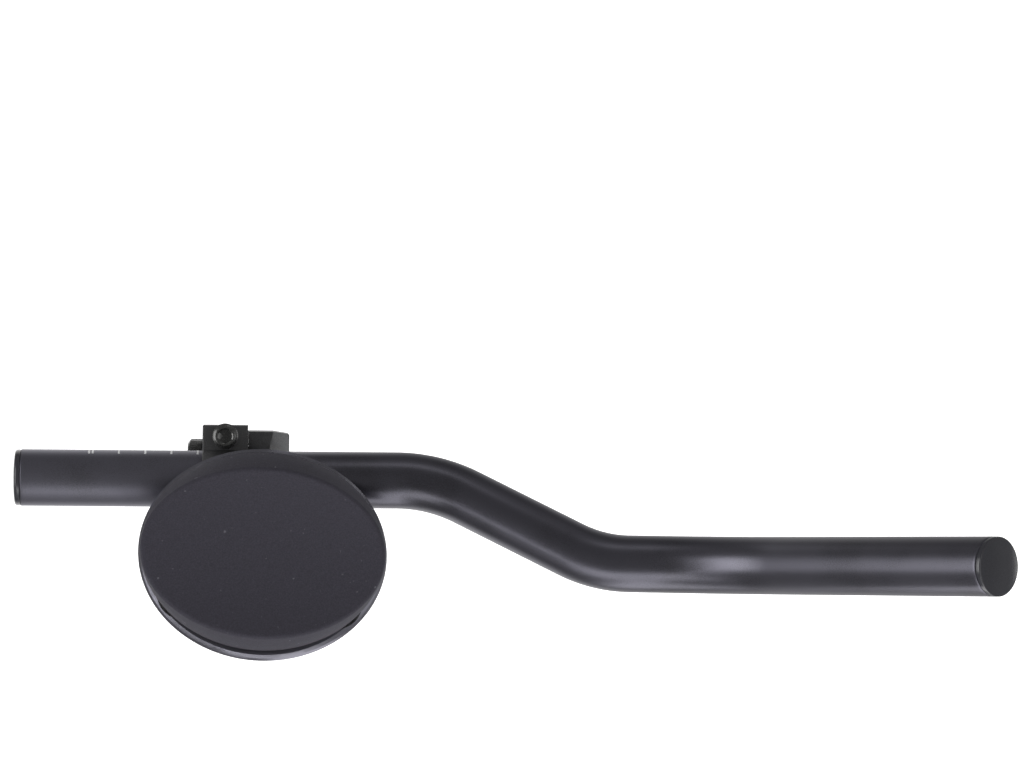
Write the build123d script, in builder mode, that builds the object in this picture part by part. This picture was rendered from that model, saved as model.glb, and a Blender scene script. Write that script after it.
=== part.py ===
from build123d import *
import os
from math import cos, radians, sin, sqrt, tan

os.makedirs("parts", exist_ok=True)

# Right-hand clip-on aero bar: a bent extension tube held in a pinch ring on a handlebar clamp,
# with a padded armrest beside it. Millimetres. The origin is the centre of the clamped
# handlebar, +X points forward, +Y inboard (to the rider's left) and +Z up.

# Handlebar clamp, split in two halves across the bar
bar_dia = 26.0
clamp_gap = 0.4  # slit between the rear half and the cap
clamp_width = 37.4  # along the bar
body_depth = 17.8  # rear half, from the slit to its rear face
cap_depth = 16.0  # front half, from the slit to its front face
cap_slope = 6.3  # slope at the top and bottom of the cap, at its ends
cap_scoop = 69.0  # radius of the slope's upper edge, seen from above
cap_taper = 0.9  # how far the cap's ends draw in beside the slope
cap_corner = 0.9  # rounding of the cap's front corners, seen from above
clamp_corner = 2.0  # rounding along the block's long edges
edge_break = 0.4  # chamfer on machined edges
clamp_bolt_rise = 18.5  # bolt rows above and below the bar axis
clamp_bolt_spread = 20.2  # between the two bolts of a row
lug_cover = 6.0  # metal from a bolt axis to the top or bottom face
clamp_bolt_length = 25.0
thread_spare = 1.1  # depth of a blind hole beyond the bolt's end

# Extension tube
tube_od = 22.2
tube_wall = 1.8
tube_rise = 32.0  # tube axis above the bar axis
tube_tail = 89.0  # tube behind the bar axis
rear_straight = 147.3
diagonal_straight = 46.7
middle_straight = 8.2
tip_straight = 103.4
bend_radius = 55.0  # the two bends of the sideways step
tip_radius = 100.0  # the upward bend before the tip
step_angle_side = 26.1  # outboard lean of the diagonal, in degrees
step_angle_up = 15.0  # upward lean of the diagonal
tip_angle_side = 2.8  # inboard lean of the tip
tip_angle_up = 49.0

# End plugs, the same at both ends of the tube
plug_flange = 2.0  # thickness at the rim
plug_rise = 1.2  # rise of the outer face above the rim
plug_slope = 5.0  # width of the sloped margin round the outer face
plug_edge = 0.25  # chamfer that leaves a groove beside the tube
plug_stem = 12.0
plug_wall = 1.5
plug_rib = 1.2  # length of a rib along the stem
plug_rib_pitch = 4.6
plug_first_rib = 2.3  # from the tube's end
plug_rib_count = 2
plug_rib_height = 0.45
plug_fit = 0.05  # between the ribs and the tube's bore

# Pinch ring and ear, on the rear half of the clamp
slide_fit = 0.05  # radial play of the loosened tube
ring_wall = 3.3
pinch_gap = 1.6
ear_reach = 21.3  # inboard face of the ear from the tube axis
ear_above = 8.5  # top of the ear above the tube axis
ear_below = 12.0
ear_corner = 0.8
pinch_bolt_reach = 17.0  # bolt axis inboard of the tube axis
pinch_bolt_length = 16.0
tube_groove_gap = 0.5  # the cap's groove under the tube

# M6 socket cap bolts
bolt_dia = 6.0
bolt_head_dia = 10.0
bolt_head = 6.0
bolt_head_edge = 1.0
bolt_end_edge = 0.7
bolt_key = 5.0  # hexagon key, across flats
bolt_key_depth = 3.0
thread_fit = 0.05  # radial gap in a tapped hole
hole_play = 0.3  # radial gap in a clear hole

# Armrest platform, one piece with the rear half of the clamp
platform_top = 41.7  # above the bar axis
platform_thick = 6.0
platform_reach = 43.0  # outboard edge from the tube axis
platform_inset = 14.5  # inboard edge of the part that runs forward beside the tube
platform_nose = 31.0  # front edge from the bar axis
platform_corner = 6.0
platform_web = 10.0  # hollow rounding under the platform

# Armrest cup, a trough of thick alloy sheet with a broken lip
armrest_x = 5.9  # centre of the armrest in front of the bar axis
armrest_y = 28.9  # centre of the armrest outboard of the tube axis
armrest_angle = 3.2  # turn of the armrest, front end outboard, in degrees
cup_length = 97.1
cup_width = 82.2
cup_wall = 2.5
cup_lip_edge = 0.75  # chamfer along the lip's two edges
cup_radius = 92.0  # hollow of the trough
boss_height = 3.0
boss_length = 46.0
boss_width = 29.0
boss_corner = 5.0
boss_floor = 3.0  # metal under the screws' washers
cup_slot = 12.0  # sideways adjustment, centre to centre of the slot's ends
cup_slot_play = 0.3

# M5 button screws with washers, which hold the cup
cup_screw_dia = 5.0
cup_screw_length = 10.0
cup_screw_spacing = 24.0
cup_head_dia = 9.5
cup_head = 2.75
cup_head_edge = 1.4
cup_key = 3.0
cup_key_depth = 1.5
washer_dia = 11.0
washer_thick = 1.0
washer_play = 0.15
recess_play = 0.75  # between a washer and the side of its recess

# Pad and the hook discs that hold it
disc_dia = 20.0
disc_thick = 1.5
disc_spacing_x = 60.0
disc_spacing_y = 34.0
disc_fit = 0.05
lip_ends = 1.5  # cup that shows beyond the pad at each end
lip_inboard = 1.0
lip_outboard = 4.5
pad_thick = 14.0
pad_taper = 0.02  # how far the pad's ends lean, as a slope

# Worked out from the sizes above
bar_radius = bar_dia / 2
tube_radius = tube_od / 2
tube_bore = tube_radius - tube_wall
ring_radius = tube_radius + ring_wall
half_gap = clamp_gap / 2
body_rear = -half_gap - body_depth
cap_front = half_gap + cap_depth
lug_top = clamp_bolt_rise + lug_cover
ear_top = tube_rise + ear_above
ear_bottom = tube_rise - ear_below
body_middle = -half_gap - body_depth / 2


def heading(side, up):
    """Unit vector that leans side degrees inboard and up degrees upwards from +X."""
    level = cos(radians(up))
    return Vector(level * cos(radians(side)), level * sin(radians(side)), sin(radians(up)))


# Corners of the tube's axis: each straight run plus the setback of the bends at its ends
headings = [
    heading(0, 0),
    heading(-step_angle_side, step_angle_up),
    heading(0, step_angle_up),
    heading(tip_angle_side, tip_angle_up),
]
straights = [rear_straight, diagonal_straight, middle_straight, tip_straight]
bends = [bend_radius, bend_radius, tip_radius]
setbacks = [
    radius * tan(radians(before.get_angle(after)) / 2)
    for radius, before, after in zip(bends, headings, headings[1:])
]
tube_corners = [Vector(-tube_tail, 0, tube_rise)]
for direction, straight, before, after in zip(headings, straights, [0] + setbacks, setbacks + [0]):
    tube_corners.append(tube_corners[-1] + direction * (before + straight + after))

rear_seat = Plane(tube_corners[0], z_dir=-headings[0])
front_seat = Plane(tube_corners[-1], z_dir=headings[-1])

# Extension tube, one bent length of round tube
with BuildPart() as extension_tube:
    with BuildLine() as tube_axis:
        FilletPolyline(*tube_corners, radius=bends)
    with BuildSketch(Plane(tube_corners[0], z_dir=headings[0])):
        Circle(tube_radius)
        Circle(tube_bore, mode=Mode.SUBTRACT)
    sweep(path=tube_axis.line)
extension_tube.part.label = "extension_tube"
export_step(extension_tube.part, "parts/extension_tube.step")


def end_plug(seat):
    """Push-in plug: a crowned flange as wide as the tube and a hollow ribbed stem inside it."""
    rib_radius = tube_bore - plug_fit
    stem_radius = rib_radius - plug_rib_height
    flange_profile = [
        (0, 0),
        (tube_radius - plug_edge, 0),
        (tube_radius, plug_edge),
        (tube_radius, plug_flange),
        (tube_radius - plug_slope, plug_flange + plug_rise),
        (0, plug_flange + plug_rise),
    ]
    with BuildPart() as plug:
        with BuildSketch(Plane(seat.origin, x_dir=seat.x_dir, z_dir=-seat.y_dir)):
            with BuildLine():
                Polyline(*flange_profile, close=True)
            make_face()
        revolve(axis=Axis(seat.origin, seat.z_dir))
        with BuildSketch(seat):
            Circle(stem_radius)
        extrude(amount=-plug_stem)
        for rib in range(plug_rib_count):
            with BuildSketch(seat.offset(-plug_first_rib - plug_rib_pitch * rib)):
                Circle(rib_radius)
            extrude(amount=-plug_rib)
        with BuildSketch(seat):
            Circle(stem_radius - plug_wall)
        extrude(amount=-plug_stem, mode=Mode.SUBTRACT)
    return plug.part


rear_end_plug = end_plug(rear_seat)
rear_end_plug.label = "rear_end_plug"
export_step(rear_end_plug, "parts/rear_end_plug.step")

front_end_plug = end_plug(front_seat)
front_end_plug.label = "front_end_plug"
export_step(front_end_plug, "parts/front_end_plug.step")

# Rear half of the handlebar clamp, with the pinch ring, its ear and the armrest platform
slit_face = Plane.YZ.offset(-half_gap)
platform_bottom = platform_top - platform_thick
body_outline = [
    (-clamp_width / 2, -lug_top),
    (clamp_width / 2, -lug_top),
    (clamp_width / 2, ear_bottom),
    (ear_reach, ear_bottom),
    (ear_reach, ear_top),
    (0, ear_top),
    (0, platform_top),
    (-platform_reach, platform_top),
    (-platform_reach, platform_bottom),
    (-clamp_width / 2, platform_bottom),
]
body_rounds = [
    clamp_corner, clamp_corner, 0, ear_corner, ear_corner, 0, 0, clamp_corner, clamp_corner, platform_web,
]
with BuildPart() as clamp_body:
    with BuildSketch(slit_face):
        with BuildLine():
            FilletPolyline(*body_outline, radius=body_rounds, close=True)
        make_face()
        with Locations((0, tube_rise)):
            Circle(ring_radius)
    extrude(amount=-body_depth)
    rear_rim = clamp_body.faces().sort_by(Axis.X)[0].outer_wire().edges()
    chamfer(rear_rim, edge_break)
    # The platform runs forward beside the tube
    nose_length = platform_nose - body_rear
    nose_width = platform_reach - platform_inset
    with BuildSketch(Plane.XY.offset(platform_top)):
        with Locations((body_rear + nose_length / 2, -platform_inset - nose_width / 2)):
            RectangleRounded(nose_length, nose_width, platform_corner)
    extrude(amount=-platform_thick)
    # Bore for the tube and the slit that lets the ear close on it
    with BuildSketch(slit_face):
        with Locations((0, tube_rise)):
            Circle(tube_radius + slide_fit)
        with Locations((ear_reach, tube_rise)):
            Rectangle(2 * ear_reach, pinch_gap)
    extrude(amount=-body_depth, mode=Mode.SUBTRACT)
    # Half bore for the handlebar
    with BuildSketch(Plane.XZ):
        Circle(bar_radius)
    extrude(amount=clamp_width, both=True, mode=Mode.SUBTRACT)
    # Clear holes for the clamp bolts
    with BuildSketch(slit_face):
        with GridLocations(clamp_bolt_spread, 2 * clamp_bolt_rise, 2, 2):
            Circle(bolt_dia / 2 + hole_play)
    extrude(amount=-body_depth, mode=Mode.SUBTRACT)
    # Pinch bolt: clear above the slit, tapped below it
    with BuildSketch(Plane.XY.offset(ear_top)):
        with Locations((body_middle, pinch_bolt_reach)):
            Circle(bolt_dia / 2 + hole_play)
    extrude(amount=-ear_above, mode=Mode.SUBTRACT)
    with BuildSketch(Plane.XY.offset(tube_rise)):
        with Locations((body_middle, pinch_bolt_reach)):
            Circle(bolt_dia / 2 + thread_fit)
    extrude(amount=-(pinch_bolt_length - ear_above + thread_spare), mode=Mode.SUBTRACT)
    # Tapped holes for the cup's screws
    with BuildSketch(Plane.XY.offset(platform_top)):
        with Locations((armrest_x, -armrest_y)):
            with GridLocations(cup_screw_spacing, 0, 2, 1):
                Circle(cup_screw_dia / 2 + thread_fit)
    extrude(amount=-platform_thick, mode=Mode.SUBTRACT)
clamp_body.part.label = "clamp_body"
export_step(clamp_body.part, "parts/clamp_body.step")

# Front half of the handlebar clamp: a bridge with scooped slopes, grooved under the tube
slope_start = cap_front - cap_slope
cap_plan = [
    (half_gap, -clamp_width / 2),
    (slope_start, -clamp_width / 2),
    (cap_front, -clamp_width / 2 + cap_taper),
    (cap_front, clamp_width / 2 - cap_taper),
    (slope_start, clamp_width / 2),
    (half_gap, clamp_width / 2),
]
scoop_centre = slope_start + sqrt(cap_scoop**2 - (clamp_width / 2) ** 2)
scoop_profile = [
    (scoop_centre - cap_scoop, lug_top),
    (scoop_centre, lug_top - cap_scoop),
    (scoop_centre, lug_top),
]
with BuildPart() as clamp_cap:
    with BuildSketch(Plane.XY):
        with BuildLine():
            FilletPolyline(*cap_plan, radius=[0, 0, cap_corner, cap_corner, 0, 0], close=True)
        make_face()
    extrude(amount=lug_top, both=True)
    for side in (1, -1):
        with BuildSketch(Plane.XZ):
            with BuildLine():
                Polyline(*[(x, side * z) for x, z in scoop_profile], close=True)
            make_face()
        revolve(axis=Axis((scoop_centre, 0, 0), (0, 0, 1)), mode=Mode.SUBTRACT)
    with BuildSketch(Plane.XZ):
        Circle(bar_radius)
    extrude(amount=clamp_width, both=True, mode=Mode.SUBTRACT)
    with BuildSketch(Plane.YZ.offset(half_gap)):
        with Locations((0, tube_rise)):
            Circle(tube_radius + tube_groove_gap)
    extrude(amount=cap_depth, mode=Mode.SUBTRACT)
    with BuildSketch(Plane.YZ.offset(half_gap)):
        with GridLocations(clamp_bolt_spread, 2 * clamp_bolt_rise, 2, 2):
            Circle(bolt_dia / 2 + thread_fit)
    extrude(amount=clamp_bolt_length - body_depth - clamp_gap + thread_spare, mode=Mode.SUBTRACT)
clamp_cap.part.label = "clamp_cap"
export_step(clamp_cap.part, "parts/clamp_cap.step")

# Four bolts that draw the halves together, heads at the rear
bolt_seat = Plane.YZ.offset(body_rear)
with BuildPart() as clamp_bolts:
    with BuildSketch(bolt_seat):
        with GridLocations(clamp_bolt_spread, 2 * clamp_bolt_rise, 2, 2):
            Circle(bolt_head_dia / 2)
    extrude(amount=-bolt_head)
    head_rims = clamp_bolts.edges().filter_by(GeomType.CIRCLE).group_by(Axis.X)[0]
    chamfer(head_rims, bolt_head_edge)
    with BuildSketch(bolt_seat):
        with GridLocations(clamp_bolt_spread, 2 * clamp_bolt_rise, 2, 2):
            Circle(bolt_dia / 2)
    extrude(amount=clamp_bolt_length)
    shank_rims = clamp_bolts.edges().filter_by(GeomType.CIRCLE).group_by(Axis.X)[-1]
    chamfer(shank_rims, bolt_end_edge)
    with BuildSketch(bolt_seat.offset(-bolt_head)):
        with GridLocations(clamp_bolt_spread, 2 * clamp_bolt_rise, 2, 2):
            RegularPolygon(bolt_key / 2, side_count=6, major_radius=False)
    extrude(amount=bolt_key_depth, mode=Mode.SUBTRACT)
clamp_bolts.part.label = "clamp_bolts"
export_step(clamp_bolts.part, "parts/clamp_bolts.step")

# Pinch bolt, head up on the ear
pinch_seat = Plane((body_middle, pinch_bolt_reach, ear_top))
with BuildPart() as pinch_bolt:
    with BuildSketch(pinch_seat):
        Circle(bolt_head_dia / 2)
    extrude(amount=bolt_head)
    chamfer(pinch_bolt.edges().filter_by(GeomType.CIRCLE).group_by(Axis.Z)[-1], bolt_head_edge)
    with BuildSketch(pinch_seat):
        Circle(bolt_dia / 2)
    extrude(amount=-pinch_bolt_length)
    chamfer(pinch_bolt.edges().filter_by(GeomType.CIRCLE).group_by(Axis.Z)[0], bolt_end_edge)
    with BuildSketch(pinch_seat.offset(bolt_head)):
        RegularPolygon(bolt_key / 2, side_count=6, major_radius=False)
    extrude(amount=-bolt_key_depth, mode=Mode.SUBTRACT)
pinch_bolt.part.label = "pinch_bolt"
export_step(pinch_bolt.part, "parts/pinch_bolt.step")

# Armrest: everything above the platform is laid out from its toed-out middle
armrest_seat = Plane(
    (armrest_x, -armrest_y, platform_top),
    x_dir=(cos(radians(armrest_angle)), -sin(radians(armrest_angle)), 0),
    z_dir=(0, 0, 1),
)
trough_end = Plane(armrest_seat.origin, x_dir=armrest_seat.y_dir, z_dir=armrest_seat.x_dir)
trough_height = boss_height + cup_wall + cup_radius  # trough axis above the platform
blank_height = trough_height / 2  # tall enough to hold the armrest's sides
recess_width = washer_dia + 2 * recess_play

# Cup: an elliptical blank cut to a curved wall, on a slotted boss
with BuildPart() as armrest_cup:
    with BuildSketch(armrest_seat):
        Ellipse(cup_length / 2, cup_width / 2)
    extrude(amount=blank_height)
    with BuildSketch(trough_end):
        with Locations((0, trough_height)):
            Circle(cup_radius + cup_wall)
            Circle(cup_radius, mode=Mode.SUBTRACT)
    extrude(amount=cup_length, both=True, mode=Mode.INTERSECT)
    lip_edges = armrest_cup.edges().filter_by(GeomType.LINE, reverse=True)
    chamfer(lip_edges, cup_lip_edge)
    with BuildSketch(armrest_seat):
        RectangleRounded(boss_length, boss_width, boss_corner)
    extrude(amount=boss_height + cup_wall / 2)
    with BuildSketch(armrest_seat.offset(boss_floor)):
        with GridLocations(cup_screw_spacing, 0, 2, 1):
            SlotCenterToCenter(cup_slot, recess_width, rotation=90)
    extrude(amount=boss_height + cup_wall, mode=Mode.SUBTRACT)
    with BuildSketch(armrest_seat):
        with GridLocations(cup_screw_spacing, 0, 2, 1):
            SlotCenterToCenter(cup_slot, cup_screw_dia + 2 * cup_slot_play, rotation=90)
    extrude(amount=boss_floor, mode=Mode.SUBTRACT)
armrest_cup.part.label = "armrest_cup"
export_step(armrest_cup.part, "parts/armrest_cup.step")

# Washers and button screws in the cup's slots
washer_seat = Plane((armrest_x, -armrest_y, platform_top + boss_floor))
with BuildPart() as cup_washers:
    with BuildSketch(washer_seat):
        with GridLocations(cup_screw_spacing, 0, 2, 1):
            Circle(washer_dia / 2)
            Circle(cup_screw_dia / 2 + washer_play, mode=Mode.SUBTRACT)
    extrude(amount=washer_thick)
cup_washers.part.label = "cup_washers"
export_step(cup_washers.part, "parts/cup_washers.step")

screw_seat = washer_seat.offset(washer_thick)
with BuildPart() as cup_screws:
    with BuildSketch(screw_seat):
        with GridLocations(cup_screw_spacing, 0, 2, 1):
            Circle(cup_head_dia / 2)
    extrude(amount=cup_head)
    chamfer(cup_screws.edges().filter_by(GeomType.CIRCLE).group_by(Axis.Z)[-1], cup_head_edge)
    with BuildSketch(screw_seat):
        with GridLocations(cup_screw_spacing, 0, 2, 1):
            Circle(cup_screw_dia / 2)
    extrude(amount=-cup_screw_length)
    with BuildSketch(screw_seat.offset(cup_head)):
        with GridLocations(cup_screw_spacing, 0, 2, 1):
            RegularPolygon(cup_key / 2, side_count=6, major_radius=False)
    extrude(amount=-cup_key_depth, mode=Mode.SUBTRACT)
cup_screws.part.label = "cup_screws"
export_step(cup_screws.part, "parts/cup_screws.step")

# Hook discs, stuck to the hollow of the cup
disc_outer = cup_radius - disc_fit
disc_inner = disc_outer - disc_thick
with BuildPart() as hook_discs:
    with BuildSketch(armrest_seat):
        with GridLocations(disc_spacing_x, disc_spacing_y, 2, 2):
            Circle(disc_dia / 2)
    extrude(amount=blank_height)
    with BuildSketch(trough_end):
        with Locations((0, trough_height)):
            Circle(disc_outer)
            Circle(disc_inner, mode=Mode.SUBTRACT)
    extrude(amount=cup_length, both=True, mode=Mode.INTERSECT)
hook_discs.part.label = "hook_discs"
export_step(hook_discs.part, "parts/hook_discs.step")

# Foam pad: a trough as thick all over, with sides square to the cup's hollow
pad_outer = disc_inner - disc_fit
pad_inner = pad_outer - pad_thick
pad_length = cup_length - 2 * lip_ends
pad_width = cup_width - lip_inboard - lip_outboard
pad_shift = (lip_outboard - lip_inboard) / 2
pad_rim_height = trough_height - sqrt(pad_outer**2 - (pad_width / 2) ** 2)
pad_side_slope = (pad_width / 2) / (trough_height - pad_rim_height)
pad_top = pad_rim_height + pad_thick + abs(pad_shift)  # above its higher side
pad_base = trough_height - pad_outer - disc_thick
pad_axis = (0, pad_shift)


def pad_ellipse(height):
    """Half length and half width of the pad's sides at a height above the platform."""
    lean = height - pad_rim_height
    return pad_length / 2 - pad_taper * lean, pad_width / 2 - pad_side_slope * lean


with BuildPart() as armrest_pad:
    for height in (pad_base, pad_top):
        with BuildSketch(armrest_seat.offset(height)):
            with Locations(pad_axis):
                Ellipse(*pad_ellipse(height))
    loft()
    with BuildSketch(trough_end):
        with Locations((0, trough_height)):
            Circle(pad_outer)
            Circle(pad_inner, mode=Mode.SUBTRACT)
    extrude(amount=cup_length, both=True, mode=Mode.INTERSECT)
armrest_pad.part.label = "armrest_pad"
export_step(armrest_pad.part, "parts/armrest_pad.step")
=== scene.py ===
import math

import bmesh
import bpy
import numpy as np
from mathutils import Matrix, Vector


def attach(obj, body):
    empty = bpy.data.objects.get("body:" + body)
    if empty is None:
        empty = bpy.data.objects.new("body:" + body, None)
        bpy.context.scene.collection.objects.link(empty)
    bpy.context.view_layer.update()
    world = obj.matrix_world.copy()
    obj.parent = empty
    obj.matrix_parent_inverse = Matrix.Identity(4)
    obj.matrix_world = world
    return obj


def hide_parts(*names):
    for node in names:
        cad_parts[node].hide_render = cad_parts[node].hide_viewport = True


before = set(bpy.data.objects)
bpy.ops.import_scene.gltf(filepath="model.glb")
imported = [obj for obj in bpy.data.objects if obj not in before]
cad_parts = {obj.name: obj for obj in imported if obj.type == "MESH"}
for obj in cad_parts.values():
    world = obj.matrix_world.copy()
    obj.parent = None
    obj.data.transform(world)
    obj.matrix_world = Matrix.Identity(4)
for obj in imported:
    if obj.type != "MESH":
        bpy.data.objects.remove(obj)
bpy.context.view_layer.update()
scene = bpy.context.scene
scene.view_settings.view_transform = "Standard"
mm = 0.001  # sizes below are in millimetres, the scene is in metres
noiseSpan = (0.3, 0.7)  # between these lie most values of a noise
print("frame loaded:", len(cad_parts), "nodes")


def hexToLinear(code):
    # sRGB hex to linear RGBA: a straight line near black, a power of 2.4 above it
    srgb = np.array([int(code[i:i + 2], 16) for i in (1, 3, 5)]) / 255
    linear = np.where(srgb <= 0.04045, srgb / 12.92, ((srgb + 0.055) / 1.055) ** 2.4)
    return (*linear.tolist(), 1.0)


def addNode(tree, kind, sockets=None, stops=(), **settings):
    # a node with its settings, its sockets set or linked, and the stops of a colour ramp
    node = tree.nodes.new(kind)
    for key, value in settings.items():
        setattr(node, key, value)
    for key, value in (sockets or {}).items():
        if isinstance(value, bpy.types.NodeSocket):
            tree.links.new(value, node.inputs[key])
        else:
            node.inputs[key].default_value = value
    for i, (position, colour) in enumerate(stops):
        stop = node.color_ramp.elements[i]
        stop.position, stop.color = position, hexToLinear(colour)
    return node


def startMaterial(name, constants):
    # a Principled surface with its constants on its own sockets, and the coordinates for its patterns
    material = bpy.data.materials.new(name)
    material.use_nodes = True
    tree = material.node_tree
    tree.nodes.clear()
    shader = addNode(tree, "ShaderNodeBsdfPrincipled", constants)
    addNode(tree, "ShaderNodeOutputMaterial", {"Surface": shader.outputs[0]})
    place = addNode(tree, "ShaderNodeTexCoord").outputs["Object"]
    return material, tree, shader, place


def grainedFinish(name, finish):
    # one noise at the grain's size carries the tone and, where the finish has them, the gloss and the bump
    material, tree, shader, place = startMaterial(name, finish["constants"])
    grain = addNode(tree, "ShaderNodeTexNoise", {
        "Vector": place, "Scale": 1 / (finish["grainMm"] * mm), "Detail": finish["detail"]}).outputs["Fac"]
    tone = addNode(tree, "ShaderNodeValToRGB", {"Fac": grain}, stops=finish["tones"])
    tree.links.new(tone.outputs["Color"], shader.inputs["Base Color"])
    if "gloss" in finish:
        low, high = finish["gloss"]  # roughness at the two ends of the noise's span
        gloss = addNode(tree, "ShaderNodeMapRange", {
            "Value": grain, "From Min": noiseSpan[0], "From Max": noiseSpan[1], "To Min": low, "To Max": high})
        tree.links.new(gloss.outputs["Result"], shader.inputs["Roughness"])
    if "bump" in finish:
        bump = addNode(tree, "ShaderNodeBump", {
            "Height": grain, "Strength": finish["bump"], "Distance": finish["bumpMm"] * mm})
        tree.links.new(bump.outputs["Normal"], shader.inputs["Normal"])
    return material


# Finishes, each from what the real surface is. Real blasting and mould textures are about 0.1 mm,
# too fine to show in the render, so their grains are drawn three to five times as coarse

# aluminium tube and cup: blasted, dyed black and sealed, a dark satin metal with a violet cast and an
# even grain; the tube is blasted coarser at the rear, where the clamp grips it, and its tone there is painted
# paler as painted light
anodised = {
    "grainMm": 0.35, "grainDetail": 2.0, "cloudMm": 30, "cloudDetail": 3.0, "cloudGloss": 0.1,
    "bump": 0.3, "bumpMm": 0.02, "coarseTo": 8, "fineFrom": 14,  # the last two: where it changes along X
    "fine": {"metallic": 1.0, "roughness": 0.34, "tones": ((0.75, "#504f55"), (1.0, "#5b5a62"))},
    # rear: a rougher blast, and paler tones that are painted light, standing for more light on the rear
    "coarsePaintedLight": {"roughness": 0.5, "tones": ((0.75, "#5a595f"), (1.0, "#66656e"))},
    "cup": {"metallic": 0.75, "roughness": 0.28, "tones": ((0.75, "#5c5b61"), (1.0, "#68676f"))},
}


def anodisedFinish(name, front, rear):
    # grain plus clouds give the dye's tone, clouds vary the gloss, and along X rear goes over into front
    material, tree, shader, place = startMaterial(name, {"Metallic": front["metallic"]})
    grain, clouds = [addNode(tree, "ShaderNodeTexNoise", {
        "Vector": place, "Scale": 1 / (anodised[size] * mm), "Detail": anodised[detail]}).outputs["Fac"]
        for size, detail in (("grainMm", "grainDetail"), ("cloudMm", "cloudDetail"))]
    dye = addNode(tree, "ShaderNodeMath", {0: grain, 1: clouds}, operation="ADD").outputs[0]
    tones = [addNode(tree, "ShaderNodeValToRGB", {"Fac": dye}, stops=finish["tones"]).outputs["Color"]
             for finish in (rear, front)]
    along = addNode(tree, "ShaderNodeSeparateXYZ", {"Vector": place}).outputs["X"]
    change = addNode(tree, "ShaderNodeMapRange", {
        "Value": along, "From Min": anodised["coarseTo"] * mm,
        "From Max": anodised["fineFrom"] * mm}).outputs["Result"]
    # towards the rear the tone goes over into the paler tones of painted light
    colour = addNode(tree, "ShaderNodeMixRGB", {"Fac": change, "Color1": tones[0], "Color2": tones[1]})
    tree.links.new(colour.outputs["Color"], shader.inputs["Base Color"])
    half = anodised["cloudGloss"] / 2  # the clouds stray from their middle by half of this each way
    blast = addNode(tree, "ShaderNodeMapRange", {
        "Value": change, "To Min": rear["roughness"] - half, "To Max": front["roughness"] - half})
    gloss = addNode(tree, "ShaderNodeMath", {
        0: clouds, 1: anodised["cloudGloss"], 2: blast.outputs["Result"]}, operation="MULTIPLY_ADD")
    tree.links.new(gloss.outputs[0], shader.inputs["Roughness"])
    bump = addNode(tree, "ShaderNodeBump", {
        "Height": grain, "Strength": anodised["bump"], "Distance": anodised["bumpMm"] * mm})
    tree.links.new(bump.outputs["Normal"], shader.inputs["Normal"])
    return material


tubeAluminium = anodisedFinish("anodisedAluminium", anodised["fine"], anodised["coarsePaintedLight"])
cupAluminium = anodisedFinish("anodisedCupAluminium", anodised["cup"], anodised["cup"])

# clamp aluminium: machined, blasted and hard anodised, a deep neutral black with a coarser grain
clampAluminium = grainedFinish("hardAnodisedAluminium", {
    "constants": {"Metallic": 0.7}, "grainMm": 0.45, "detail": 3.0, "gloss": (0.34, 0.42),
    "tones": ((0.35, "#545455"), (0.65, "#616162")), "bump": 0.35, "bumpMm": 0.03})

# bolt steel: cold forged and black oxide coated, a darker glossy metal, mottled where the coat varies
blackOxideSteel = grainedFinish("blackOxideSteel", {
    "constants": {"Metallic": 0.7}, "grainMm": 0.8, "detail": 4.0, "gloss": (0.19, 0.32),
    "tones": ((0.3, "#4a4a4a"), (0.75, "#5a5a59"))})

# plug plastic: injection-moulded nylon with the fine spark-eroded texture of its mould
mouldedNylon = grainedFinish("mouldedNylon", {
    "constants": {"Roughness": 0.2, "IOR": 1.53}, "grainMm": 0.3, "detail": 2.0,
    "tones": ((0.35, "#2f2f34"), (0.65, "#35353b")), "bump": 0.3, "bumpMm": 0.02})

# marks: white pad-printed ink, thin and a little broken where the blasted metal shows through
printedInk = grainedFinish("printedInk", {
    "constants": {"Roughness": 0.55, "IOR": 1.5}, "grainMm": 0.4, "detail": 2.0,
    "tones": ((0.3, "#a4a4a8"), (0.5, "#f0f0f0"))})

# pad: closed-cell foam with a brushed knit face, soft grey-black, with a few pale lint specks
padFinish = {
    "constants": {"Roughness": 0.92, "IOR": 1.45, "Sheen Weight": 0.03, "Sheen Roughness": 0.5},
    "knitMm": 0.55, "knitDetail": 3.0, "tones": ((0.3, "#312f37"), (0.7, "#3b3943")),
    "speckMm": 1.6, "speckFrom": 0.8, "speckFull": 0.9, "speck": "#58565e", "bump": 0.5, "bumpMm": 0.12,
}
knitFoam, tree, shader, place = startMaterial("knitFacedFoam", padFinish["constants"])
knit = addNode(tree, "ShaderNodeTexNoise", {
    "Vector": place, "Scale": 1 / (padFinish["knitMm"] * mm),
    "Detail": padFinish["knitDetail"]}).outputs["Fac"]
lint = addNode(tree, "ShaderNodeTexNoise", {
    "Vector": place, "Scale": 1 / (padFinish["speckMm"] * mm), "Detail": 0.0}).outputs["Fac"]
speck = addNode(tree, "ShaderNodeMapRange", {
    "Value": lint, "From Min": padFinish["speckFrom"], "From Max": padFinish["speckFull"]}).outputs["Result"]
cloth = addNode(tree, "ShaderNodeValToRGB", {"Fac": knit}, stops=padFinish["tones"]).outputs["Color"]
worn = addNode(tree, "ShaderNodeMixRGB", {
    "Fac": speck, "Color1": cloth, "Color2": hexToLinear(padFinish["speck"])})
tree.links.new(worn.outputs["Color"], shader.inputs["Base Color"])
bump = addNode(tree, "ShaderNodeBump", {
    "Height": knit, "Strength": padFinish["bump"], "Distance": padFinish["bumpMm"] * mm})
tree.links.new(bump.outputs["Normal"], shader.inputs["Normal"])

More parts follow.
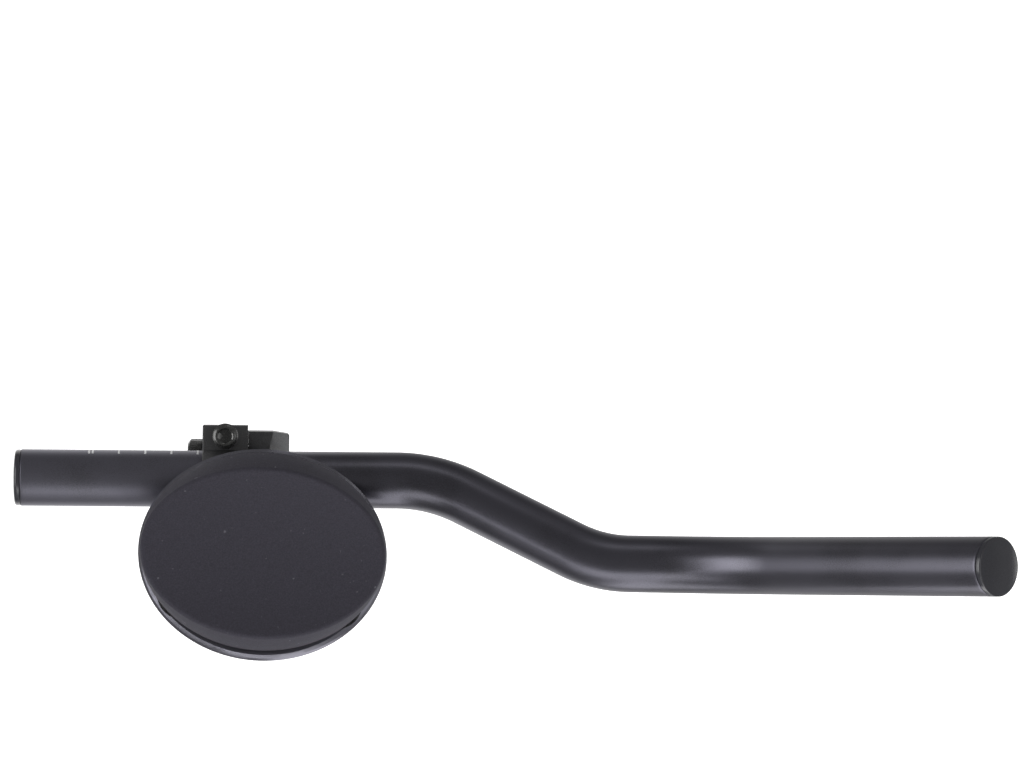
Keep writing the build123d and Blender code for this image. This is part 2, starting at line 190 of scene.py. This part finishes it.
# hook tape: nylon hooks on a woven strip, seen only as a fine black pile
hookFinish = {"constants": {"Roughness": 0.7, "IOR": 1.53}, "hookMm": 1.1,
              "tones": ((0.1, "#2a2a2c"), (0.6, "#141415")), "bump": 0.8, "bumpMm": 0.4}
hookTape, tree, shader, place = startMaterial("nylonHookTape", hookFinish["constants"])
hooks = addNode(tree, "ShaderNodeTexVoronoi", {
    "Vector": place, "Scale": 1 / (hookFinish["hookMm"] * mm)}).outputs["Distance"]
pile = addNode(tree, "ShaderNodeValToRGB", {"Fac": hooks}, stops=hookFinish["tones"])
tree.links.new(pile.outputs["Color"], shader.inputs["Base Color"])
bump = addNode(tree, "ShaderNodeBump", {
    "Height": hooks, "Strength": hookFinish["bump"], "Distance": hookFinish["bumpMm"] * mm}, invert=True)
tree.links.new(bump.outputs["Normal"], shader.inputs["Normal"])
print("finishes made:", len(bpy.data.materials))


def dressMesh(name, mesh, material, sharp, weldMm=0.002):
    # seams and poles closed, faces outwards, smooth up to an angle
    work = bmesh.new()
    work.from_mesh(mesh)
    bmesh.ops.remove_doubles(work, verts=work.verts, dist=weldMm * mm)
    bmesh.ops.recalc_face_normals(work, faces=work.faces)
    work.to_mesh(mesh)
    work.free()
    mesh.name = name
    mesh.shade_smooth()
    mesh.set_sharp_from_angle(angle=math.radians(sharp))
    mesh.materials.clear()
    mesh.materials.append(material)
    piece = bpy.data.objects.new(name, mesh)
    scene.collection.objects.link(piece)
    return piece


def gridPiece(name, grids, material, wrapRows=False, sharp=35):
    # quads between neighbouring rows and columns of each grid of points; the columns always wrap round
    points, quads, start = [], [], 0
    for grid in grids:
        index = start + np.arange(grid.shape[0] * grid.shape[1]).reshape(grid.shape[:2])
        index = np.hstack([index, index[:, :1]])
        index = np.vstack([index, index[:1]]) if wrapRows else index
        corners = [index[:-1, :-1], index[1:, :-1], index[1:, 1:], index[:-1, 1:]]
        quads.append(np.stack(corners, -1).reshape(-1, 4))
        points.append(grid.reshape(-1, 3) * mm)
        start += grid.shape[0] * grid.shape[1]
    mesh = bpy.data.meshes.new(name)
    mesh.from_pydata(np.concatenate(points).tolist(), [], np.concatenate(quads).tolist())
    return dressMesh(name, mesh, material, sharp)


def turned(radius, height, origin, axis):
    # lathe surface: origin + height * axis + radius * (cos t * a + sin t * b), one radius per row and side
    axis = np.array(axis) / np.linalg.norm(axis)
    a = np.cross(axis, (0.0, 1.0, 0.0))
    a = a / np.linalg.norm(a)
    b = np.cross(axis, a)
    t = np.linspace(0, 2 * np.pi, radius.shape[1], endpoint=False)
    rim = np.cos(t)[:, None] * a + np.sin(t)[:, None] * b
    return np.array(origin) + height[:, None, None] * axis + radius[:, :, None] * rim


def softenedNode(name, node, material, spec, reshape, hard=30, flat=0.5, weldMm=0.001):
    # a reshaped copy of a solid: loose triangles merged, flat faces joined, hard edges rolled over
    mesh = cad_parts[node].data.copy()
    points = np.empty(len(mesh.vertices) * 3)
    mesh.vertices.foreach_get("co", points)
    mesh.vertices.foreach_set("co", reshape(points.reshape(-1, 3) / mm).ravel() * mm)
    work = bmesh.new()
    work.from_mesh(mesh)
    bmesh.ops.remove_doubles(work, verts=work.verts, dist=weldMm * mm)
    bmesh.ops.dissolve_limit(work, angle_limit=math.radians(flat), verts=work.verts, edges=work.edges)
    work.to_mesh(mesh)
    work.free()
    piece = dressMesh(name, mesh, material, hard)
    bevel = piece.modifiers.new("rolledEdges", "BEVEL")
    bevel.width, bevel.segments = spec["roll"] * mm, spec["rollSteps"]
    bevel.limit_method, bevel.angle_limit = "ANGLE", math.radians(hard)
    bevel.harden_normals = True
    return piece


def settle(piece, body, slot, *nodes):
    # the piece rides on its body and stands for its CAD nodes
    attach(piece, body)
    if nodes:
        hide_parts(*nodes)
    print("piece", piece.name, len(piece.data.polygons), "faces")


# Extension tube
tubeSpec = {
    "diameter": 22.2, "wall": 1.8, "rise": 32.0, "tail": 89.0, "endRound": 0.6, "endRows": 5,
    "straights": (147.3, 46.7, 8.2, 103.4), "bends": (55.0, 55.0, 100.0),
    "headings": ((0.0, 0.0), (-26.1, 15.0), (0.0, 15.0), (2.8, 49.0)),  # sideways and upward lean, degrees
    "stepMm": 1.6, "sides": 96,
}
tubeRadius = tubeSpec["diameter"] / 2


def heading(side, up):
    # unit vector that leans side degrees inboard and up degrees upwards from +X
    side, up = math.radians(side), math.radians(up)
    return np.array((math.cos(up) * math.cos(side), math.cos(up) * math.sin(side), math.sin(up)))


def tubeAxis(spec):
    # straight runs joined by arcs: an arc's point is r (sin a * before + (1 - cos a) * across) from its start
    way = [heading(*lean) for lean in spec["headings"]]
    point, points, tangents = np.array((-spec["tail"], 0.0, spec["rise"])), [], []
    for i, run in enumerate(spec["straights"]):
        s = np.linspace(0, run, int(run / spec["stepMm"]) + 2)[:, None]
        points.append(point + s * way[i])
        tangents.append(np.ones_like(s) * way[i])
        point = points[-1][-1]
        if i < len(spec["bends"]):
            bend = math.acos(way[i] @ way[i + 1])
            across = (way[i + 1] - math.cos(bend) * way[i]) / math.sin(bend)
            r = spec["bends"][i]
            a = np.linspace(0, bend, int(r * bend / spec["stepMm"]) + 2)[1:, None]
            points.append(point + r * (np.sin(a) * way[i] + (1 - np.cos(a)) * across))
            tangents.append(np.cos(a) * way[i] + np.sin(a) * across)
            point = points[-1][-1]
    return np.concatenate(points), np.concatenate(tangents)


def tubeGrid(spec, points, tangents):
    # a circle carried along the axis: point + r (cos t * sideways + sin t * upward); its rows run along the
    # outside and back along the inside, and each outer end is a quarter round:
    # e (1 - cos a) along the axis, e (1 - sin a) off the radius
    rows = spec["endRows"]
    a = np.linspace(0, np.pi / 2, rows)
    along, drop = spec["endRound"] * (1 - np.cos(a))[:, None], spec["endRound"] * (1 - np.sin(a))
    spine = np.concatenate([points[0] + along * tangents[0], points[1:-1],
                            points[-1] - along[::-1] * tangents[-1]])
    ways = np.concatenate([tangents[[0] * rows], tangents[1:-1], tangents[[-1] * rows]])
    sideways = np.cross((0.0, 0.0, 1.0), ways)
    sideways = sideways / np.linalg.norm(sideways, axis=1, keepdims=True)
    upward = np.cross(ways, sideways)
    outside = tubeRadius - np.concatenate([drop, np.zeros(len(spine) - 2 * rows), drop[::-1]])
    r = np.concatenate([outside, np.full(len(spine), tubeRadius - spec["wall"])])
    order = np.concatenate([np.arange(len(spine)), np.arange(len(spine))[::-1]])
    t = np.linspace(0, 2 * np.pi, spec["sides"], endpoint=False)[None, :, None]
    rim = np.cos(t) * sideways[order][:, None] + np.sin(t) * upward[order][:, None]
    return spine[order][:, None] + r[:, None, None] * rim


axisPoints, axisTangents = tubeAxis(tubeSpec)
extensionTube = gridPiece("extensionTube", [tubeGrid(tubeSpec, axisPoints, axisTangents)], tubeAluminium,
                          wrapRows=True)
settle(extensionTube, "extension", "anodised_alloy", "extension_tube")

# Printed reach marks on the inboard side of the tube's rear
markSpec = {"places": (-62.2, -60.8, -50.6, -40.3, -30.1, -19.9), "width": 0.75, "film": 0.03,
            "from": 61.0, "to": 104.0, "rows": 16}  # from and to: degrees down from the tube's top


def reachMark(place):
    # a thin film: corners (x, r) of its section carried round the tube, each end drawn in to a point
    rows = markSpec["rows"]
    lean = np.radians(np.linspace(markSpec["from"], markSpec["to"], rows))[[0, *range(rows), rows - 1], None]
    full = np.ones((rows + 2, 1))
    full[[0, -1]] = 0
    x = place + full * np.array((-0.5, 0.5, 0.5, -0.5)) * markSpec["width"]
    r = tubeRadius + full * np.array((-1.0, -1.0, 1.0, 1.0)) * markSpec["film"]
    return np.stack([x, r * np.sin(lean), tubeSpec["rise"] + r * np.cos(lean)], -1)


reachMarks = gridPiece("reachMarks", [reachMark(place) for place in markSpec["places"]], printedInk)
settle(reachMarks, "extension", "anodised_alloy")

# End plugs
plugSpec = {
    "flange": 2.0, "dome": 1.2, "domeRows": 16, "rearRim": 1.3, "frontRim": 0.5, "rimFrom": 80, "rimRows": 7,
    "groove": 0.25, "stem": 8.8, "stemLength": 12.0, "hollow": 7.35, "hollowTop": -0.2, "sides": 96,
    "rib": 0.45, "ribHeights": (-2.3, -2.4, -3.4, -3.5, -6.9, -7.0, -8.0, -8.1),  # each: foot, top, top, foot
}


def endPlug(name, seat, axis, rimRound):
    # profile from the dome's middle over the rounded rim and groove, down the ribbed stem and up its hollow:
    # the dome falls with the square of its radius, the rim is an arc
    r0 = np.linspace(0, tubeRadius - rimRound, plugSpec["domeRows"])
    h0 = plugSpec["flange"] + plugSpec["dome"] * (1 - (r0 / tubeRadius) ** 2)
    a = np.radians(np.linspace(plugSpec["rimFrom"], 0, plugSpec["rimRows"]))
    r1 = tubeRadius - rimRound * (1 - np.cos(a))
    h1 = h0[-1] - rimRound * (1 - np.sin(a))
    groove, stem, hollow = plugSpec["groove"], plugSpec["stem"], plugSpec["hollow"]
    rib, end, top = stem + plugSpec["rib"], -plugSpec["stemLength"], plugSpec["hollowTop"]
    r2 = [tubeRadius, tubeRadius - groove, stem, *[stem, rib, rib, stem] * 2, stem, hollow, hollow, 0.0]
    h2 = [groove, 0.0, 0.0, *plugSpec["ribHeights"], end, end, top, top]
    radius, height = np.concatenate([r0, r1, r2]), np.concatenate([h0, h1, h2])
    grid = turned(np.repeat(radius[:, None], plugSpec["sides"], 1), height, seat, axis)
    return gridPiece(name, [grid], mouldedNylon)


rearEndPlug = endPlug("rearEndPlug", axisPoints[0], -axisTangents[0], plugSpec["rearRim"])
settle(rearEndPlug, "extension", "plug_plastic", "rear_end_plug")
frontEndPlug = endPlug("frontEndPlug", axisPoints[-1], axisTangents[-1], plugSpec["frontRim"])
settle(frontEndPlug, "extension", "plug_plastic", "front_end_plug")

# Socket cap bolts: sizes of every bolt, then the place and length of each kind
boltSpec = {
    "head": 10.0, "headHeight": 6.0, "shank": 6.0, "tipChamfer": 0.7, "sides": 216,
    "key": 5.0, "keyDepth": 3.0, "drill": 0.7, "floorShare": 0.97, "floorRise": 0.1,  # hexagon and its floor
    "mouth": 3.05, "mouthDrop": 0.35, "flat": 3.8, "bead": 0.14,  # round mouth and the flat ring about it
    "slope": 0.85, "edgeIn": 0.12, "edgeDrop": 0.15,  # slope down to the head's upper edge
    "knurls": 36, "knurl": 0.14, "knurlDrop": 0.35, "knurlFoot": 0.6,
    "footIn": (0.1, 0.35), "footHeight": 0.35,  # rounded lower edge of the head
}
clampBoltSpec = {"rear": -18.0, "rise": 18.5, "spread": 20.2, "length": 25.0}
pinchBoltSpec = {"seat": (-9.1, 17.0, 40.5), "length": 16.0}


def capBolt(seat, axis, length):
    # lathe rows from the socket's floor, up its hexagon, over the head, down the knurl and the shank;
    # the hexagon's radius is half the key over cos t in each sixth, the knurl is a wave of straight flanks
    spec = boltSpec
    t = np.linspace(0, 2 * np.pi, spec["sides"], endpoint=False)
    circle, outer, shank = np.ones_like(t), spec["head"] / 2, spec["shank"] / 2
    hexagon = spec["key"] / 2 / np.cos((t + np.pi / 6) % (np.pi / 3) - np.pi / 6)
    wave = np.abs(2 * (t * spec["knurls"] / (2 * np.pi) % 1) - 1)
    knurled = outer * (1 - spec["knurl"] * 2 / spec["head"] * wave)
    mouth, flat, bead, head = spec["mouth"], spec["flat"], spec["bead"], spec["headHeight"]
    floor, edge, tip = head - spec["keyDepth"], head - spec["slope"], spec["tipChamfer"]
    rows = [
        (0 * circle, floor - spec["drill"]), (spec["floorShare"] * hexagon, floor),
        (hexagon, floor + spec["floorRise"]), (hexagon, head - spec["mouthDrop"]),
        (circle * mouth, head - bead), (circle * (mouth + bead), head),
        (circle * (flat - bead), head), (circle * flat, head - bead / 3),
        (circle * (outer - spec["edgeIn"]), edge), (circle * outer, edge - spec["edgeDrop"]),
        (knurled, edge - spec["knurlDrop"]), (knurled, spec["knurlFoot"]),
        (circle * (outer - spec["footIn"][0]), spec["footHeight"]),
        (circle * (outer - spec["footIn"][1]), 0.0),
        (circle * shank, 0.0), (circle * shank, tip - length),
        (circle * (shank - tip), -length), (0 * circle, -length),
    ]
    radius, height = (np.array(column) for column in zip(*rows))
    return turned(radius, height, seat, axis)


clampSeats = [(clampBoltSpec["rear"], side * clampBoltSpec["spread"] / 2, up * clampBoltSpec["rise"])
              for side in (-1, 1) for up in (-1, 1)]
clampBolts = gridPiece("clampBolts", [capBolt(seat, (-1.0, 0.0, 0.0), clampBoltSpec["length"])
                                      for seat in clampSeats], blackOxideSteel)
settle(clampBolts, "bracket", "bolt_steel", "clamp_bolts")
pinchBolt = gridPiece("pinchBolt", [capBolt(pinchBoltSpec["seat"], (0.0, 0.0, 1.0),
                                            pinchBoltSpec["length"])], blackOxideSteel)
settle(pinchBolt, "bracket", "bolt_steel", "pinch_bolt")

# Clamp halves: the solids with their edges rolled over
clampSpec = {"roll": 0.25, "rollSteps": 3, "landWithin": 0.3, "landShare": 0.05}


def closeLands(points):
    # below the bar the halves' faces lie near x = 0; they keep a small share of that, so that they all but meet
    lands = (np.abs(points[:, 0]) < clampSpec["landWithin"]) & (points[:, 2] < 0)
    points[lands, 0] *= clampSpec["landShare"]
    return points


for name, node in (("clampBody", "clamp_body"), ("clampCap", "clamp_cap")):
    settle(softenedNode(name, node, clampAluminium, clampSpec, closeLands), "bracket", "clamp_alloy", node)

# Armrest cup: the solid with its edges rolled over and its lip turned outwards
cupSpec = {
    "middle": (5.9, -28.9, 41.7), "toe": 3.2, "troughAxis": 97.5, "outer": 94.5, "wall": 2.5,
    "length": 97.1, "width": 82.2, "roll": 0.35, "rollSteps": 4,
    "ringShares": (0.97, 0.995),  # shares of the outline that tell the rim's rings apart
    "lipWide": 2.4, "lipBend": 1.0,  # where the lip starts and where it bends down, inwards from the outline
    "lipLean": 25.0, "edgeRise": 0.12,  # its fall from level in degrees, and the height of its outer edge
}
toe = math.radians(cupSpec["toe"])
cupTurn = np.array(((math.cos(toe), math.sin(toe), 0.0),  # from the whole frame to the cup's, x along the trough
                    (-math.sin(toe), math.cos(toe), 0.0), (0.0, 0.0, 1.0)))


def turnLip(points):
    # in the cup's own frame a point has a share of the outline's ellipse and a rise through the bent wall;
    # the rim's two upper rings move inwards and the outer of them down, so that the lip rolls over outwards
    length, width, outer, wall = (cupSpec[key] for key in ("length", "width", "outer", "wall"))
    x, y, z = ((points - cupSpec["middle"]) @ cupTurn).T
    share = np.hypot(x * 2 / length, y * 2 / width)
    rise = outer - np.hypot(y, cupSpec["troughAxis"] - z)
    upper, (inner, edge) = rise > wall / 2, cupSpec["ringShares"]
    rings = [(share > inner) & (share < edge) & upper, (share > edge) & upper, (share > edge) & ~upper]
    inset = np.select(rings, [cupSpec["lipWide"], cupSpec["lipBend"], 0.0], 0.0)
    # the trough climbs outwards, so the lip falls by (tan lean + tan climb) * cos climb of its run
    outX, outY = x / length ** 2, y / width ** 2
    climb = np.arcsin(np.abs(y) / outer) * np.abs(outY) / np.maximum(np.hypot(outX, outY), 1e-9)
    lean, run = math.radians(cupSpec["lipLean"]), cupSpec["lipWide"] - cupSpec["lipBend"]
    fall = run * (math.tan(lean) + np.tan(climb)) * np.cos(climb)
    rise = np.select(rings, [wall, wall - fall, cupSpec["edgeRise"]], rise)
    share = np.maximum(share, 0.01)  # nothing is divided by 0 at the cup's middle
    reach = np.maximum(np.hypot(x, y) / share, 1)  # distance from the middle to the outline
    scale = np.where(rings[0] | rings[1], (1 - inset / reach) / share, 1)
    x, y = x * scale, y * scale
    bent = cupSpec["troughAxis"] - np.sqrt((outer - rise) ** 2 - y ** 2)
    z = np.where(rings[0] | rings[1] | rings[2], bent, z)
    return np.stack([x, y, z], -1) @ cupTurn.T + cupSpec["middle"]


armrestCup = softenedNode("armrestCup", "armrest_cup", cupAluminium, cupSpec, turnLip)
settle(armrestCup, "bracket", "cup_alloy", "armrest_cup")

# Foam pad, in the cup's frame and trough
padSpec = {
    "outer": 90.4, "thick": 14.0, "length": 95.0, "width": 77.3, "shift": 1.45, "bulge": 0.35,
    "topRound": 1.6, "baseRound": 0.9, "roundRows": 9, "sideRows": 12, "fillRows": 28, "sides": 240,
}


def padGrid(spec):
    # rows of (inset from the outline, height): flat base, bulged side, rounded edge, hollow top;
    # base and top are drawn in to the middle
    thick, top, base = spec["thick"], spec["topRound"], spec["baseRound"]
    a = np.linspace(0, np.pi / 2, spec["roundRows"])
    sideHeight = np.linspace(base, thick - top, spec["sideRows"])
    bulge = -spec["bulge"] * np.sin(np.pi * (sideHeight - base) / (thick - top - base))
    height = np.concatenate([base * (1 - np.cos(a)), sideHeight[1:-1], thick - top * (1 - np.sin(a))])
    inset = np.concatenate([base * (1 - np.sin(a)), bulge[1:-1], top * (1 - np.cos(a))])
    t = np.linspace(0, 2 * np.pi, spec["sides"], endpoint=False)
    share = 1 - inset[:, None] / np.hypot(spec["length"] / 2 * np.cos(t), spec["width"] / 2 * np.sin(t))
    inwards = np.linspace(0, 1, spec["fillRows"])[:-1, None]
    share = np.concatenate([inwards * share[0], share, inwards[::-1] * share[-1]])
    height = np.concatenate([np.zeros(len(inwards)), height, np.full(len(inwards), thick)])
    # the outline's ellipse is bent into the trough: across is an angle, height runs towards the trough's axis
    x = share * spec["length"] / 2 * np.cos(t)
    across = np.arcsin((spec["shift"] + share * spec["width"] / 2 * np.sin(t)) / spec["outer"])
    radius = spec["outer"] - height[:, None]
    y, z = radius * np.sin(across), cupSpec["troughAxis"] - radius * np.cos(across)
    return np.stack([x, y, z], -1) @ cupTurn.T + cupSpec["middle"]


armrestPad = gridPiece("armrestPad", [padGrid(padSpec)], knitFoam, sharp=60)
settle(armrestPad, "bracket", "pad_foam", "armrest_pad")

# Hidden fasteners keep their solids
hiddenFinishes = {"cup_washers": blackOxideSteel, "cup_screws": blackOxideSteel, "hook_discs": hookTape}
for node, material in hiddenFinishes.items():
    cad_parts[node].data.materials.clear()
    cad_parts[node].data.materials.append(material)

# Stage: a pale floor, white to the camera; reflections see a painted glow on it, with painted pools of light
# brightest under the object
stageSpec = {"floorZ": -0.12, "half": 2.0, "paper": "#f0f0f0", "glow": 0.72, "far": 0.2, "paintedPools": (
    {"middle": (0.2, -0.06, 0.0), "half": (0.38, 0.42), "lift": 0.66},
    {"middle": (-0.09, 0.0, 0.0), "half": (0.19, 0.5), "lift": 2.0},
    {"middle": (0.07, -0.17, 0.0), "half": (0.15, 0.16), "lift": 0.55},
)}
floorMesh = bpy.data.meshes.new("studioFloor")
floorCorners = np.array(((-1, -1, 0), (1, -1, 0), (1, 1, 0), (-1, 1, 0))) * stageSpec["half"]
floorMesh.from_pydata(floorCorners.tolist(), [], [(0, 1, 2, 3)])
studioFloor = bpy.data.objects.new("studioFloor", floorMesh)
studioFloor.location = (0.0, 0.0, stageSpec["floorZ"])
scene.collection.objects.link(studioFloor)
studioPaper = bpy.data.materials.new("whiteStudioPaper")
studioPaper.use_nodes = True
tree = studioPaper.node_tree
tree.nodes.clear()
rays = addNode(tree, "ShaderNodeLightPath").outputs
place = addNode(tree, "ShaderNodeTexCoord").outputs["Object"]
bright = stageSpec["far"]
# painted light: each pool is a painted pool of light, added to the glow that reflections see
for pool in stageSpec["paintedPools"]:  # each pool fades out to nothing on its ellipse
    across = (1 / pool["half"][0], 1 / pool["half"][1], 0.0)
    offset = addNode(tree, "ShaderNodeVectorMath", {0: place, 1: pool["middle"]}, operation="SUBTRACT")
    shape = addNode(tree, "ShaderNodeVectorMath", {0: offset.outputs[0], 1: across}, operation="MULTIPLY")
    away = addNode(tree, "ShaderNodeVectorMath", {0: shape.outputs[0]}, operation="LENGTH")
    lift = addNode(tree, "ShaderNodeMapRange", {
        "Value": away.outputs["Value"], "To Min": pool["lift"], "To Max": 0.0},
        interpolation_type="SMOOTHSTEP").outputs["Result"]
    bright = addNode(tree, "ShaderNodeMath", {0: bright, 1: lift}, operation="ADD").outputs[0]
# painted glow, seen only by glossy and transmission rays: the far level plus the painted pools of light
paintedPoolGlow = addNode(tree, "ShaderNodeEmission", {"Strength": bright})
seen = addNode(tree, "ShaderNodeMath", {0: rays["Is Camera Ray"], 1: stageSpec["glow"]}, operation="MULTIPLY")
glow = addNode(tree, "ShaderNodeEmission", {"Strength": seen.outputs[0]})
paper = addNode(tree, "ShaderNodeBsdfDiffuse", {"Color": hexToLinear(stageSpec["paper"])})
both = addNode(tree, "ShaderNodeAddShader", {0: glow.outputs[0], 1: paper.outputs[0]})
shiny = addNode(tree, "ShaderNodeMath", {
    0: rays["Is Glossy Ray"], 1: rays["Is Transmission Ray"]}, operation="MAXIMUM")
surface = addNode(tree, "ShaderNodeMixShader", {
    0: shiny.outputs[0], 1: both.outputs[0], 2: paintedPoolGlow.outputs[0]})
addNode(tree, "ShaderNodeOutputMaterial", {"Surface": surface.outputs[0]})
floorMesh.materials.append(studioPaper)

# World: white to the camera, a dim studio to everything else, darker towards the top
worldSpec = {"colour": "#ffffff", "shown": 1.0, "level": 0.36, "top": 0.23, "topFrom": 0.8}
studio = bpy.data.worlds.new("studio")
scene.world = studio
studio.use_nodes = True
tree = studio.node_tree
tree.nodes.clear()
rays = addNode(tree, "ShaderNodeLightPath").outputs
way = addNode(tree, "ShaderNodeTexCoord").outputs["Generated"]
up = addNode(tree, "ShaderNodeSeparateXYZ", {"Vector": way}).outputs["Z"]
fade = addNode(tree, "ShaderNodeMapRange", {
    "Value": up, "From Min": 0.0, "From Max": worldSpec["topFrom"],
    "To Min": worldSpec["level"], "To Max": worldSpec["top"]})
white = hexToLinear(worldSpec["colour"])
dim = addNode(tree, "ShaderNodeBackground", {"Color": white, "Strength": fade.outputs["Result"]})
shown = addNode(tree, "ShaderNodeBackground", {"Color": white, "Strength": worldSpec["shown"]})
sky = addNode(tree, "ShaderNodeMixShader", {0: rays["Is Camera Ray"], 1: dim.outputs[0], 2: shown.outputs[0]})
addNode(tree, "ShaderNodeOutputWorld", {"Surface": sky.outputs[0]})

# Softboxes: place, aim, width and height in metres, and radiance of each
softboxes = {
    "outboardSoftbox": ((0.1925, -0.42, 0.15), (0.1925, 0.0, 0.15), (0.295, 0.52), 2.65),
    "outboardWing": ((-0.07, -0.42, 0.39), (-0.07, 0.0, 0.39), (0.2, 0.42), 2.1),
    "inboardStrip": ((0.08, 0.3, 0.155), (0.08, 0.0, 0.05), (0.06, 0.07), 1.8),
    "rearSoftbox": ((-1.1, 0.09, 0.53), (0.18, 0.02, 0.06), (1.08, 0.62), 3.75),
    "rearWing": ((-0.3, -0.36, 0.42), (-0.01, -0.05, 0.05), (0.42, 0.05), 4.2),
    "frontKey": ((0.7, -0.05, 0.8), (0.0, -0.03, 0.06), (0.7, 0.7), 1.5),
    "frontStrip": ((0.5, 0.07, 0.0), (0.02, 0.03, 0.02), (0.52, 0.12), 2.8),
}
for name, (stand, aim, (width, height), radiance) in softboxes.items():
    lamp = bpy.data.lights.new(name, "AREA")
    lamp.shape, lamp.size, lamp.size_y = "RECTANGLE", width, height
    lamp.energy = radiance * math.pi * width * height
    holder = bpy.data.objects.new(name, lamp)
    holder.location = stand
    holder.rotation_euler = (Vector(aim) - Vector(stand)).to_track_quat("-Z", "Y").to_euler()
    holder.visible_camera = False
    scene.collection.objects.link(holder)

# Camera: straight above, tilted a little towards the rear
cameraSpec = {"lens": 161.5, "sensor": 36.0, "clip": (0.05, 20.0), "distance": 1.8,
              "aim": (0.10285, 0.03841, 0.0433), "tilt": -3.34, "roll": 0.54}
lens = bpy.data.cameras.new("camera")
lens.lens, lens.sensor_width = cameraSpec["lens"], cameraSpec["sensor"]
lens.clip_start, lens.clip_end = cameraSpec["clip"]
camera = bpy.data.objects.new("camera", lens)
tilt = Matrix.Rotation(math.radians(cameraSpec["tilt"]), 4, "Y")
roll = Matrix.Rotation(math.radians(cameraSpec["roll"]), 4, "Z")
back = Matrix.Translation((0, 0, cameraSpec["distance"]))
camera.matrix_world = Matrix.Translation(Vector(cameraSpec["aim"])) @ tilt @ roll @ back
scene.collection.objects.link(camera)
scene.camera = camera
print("stage, lights and camera set")
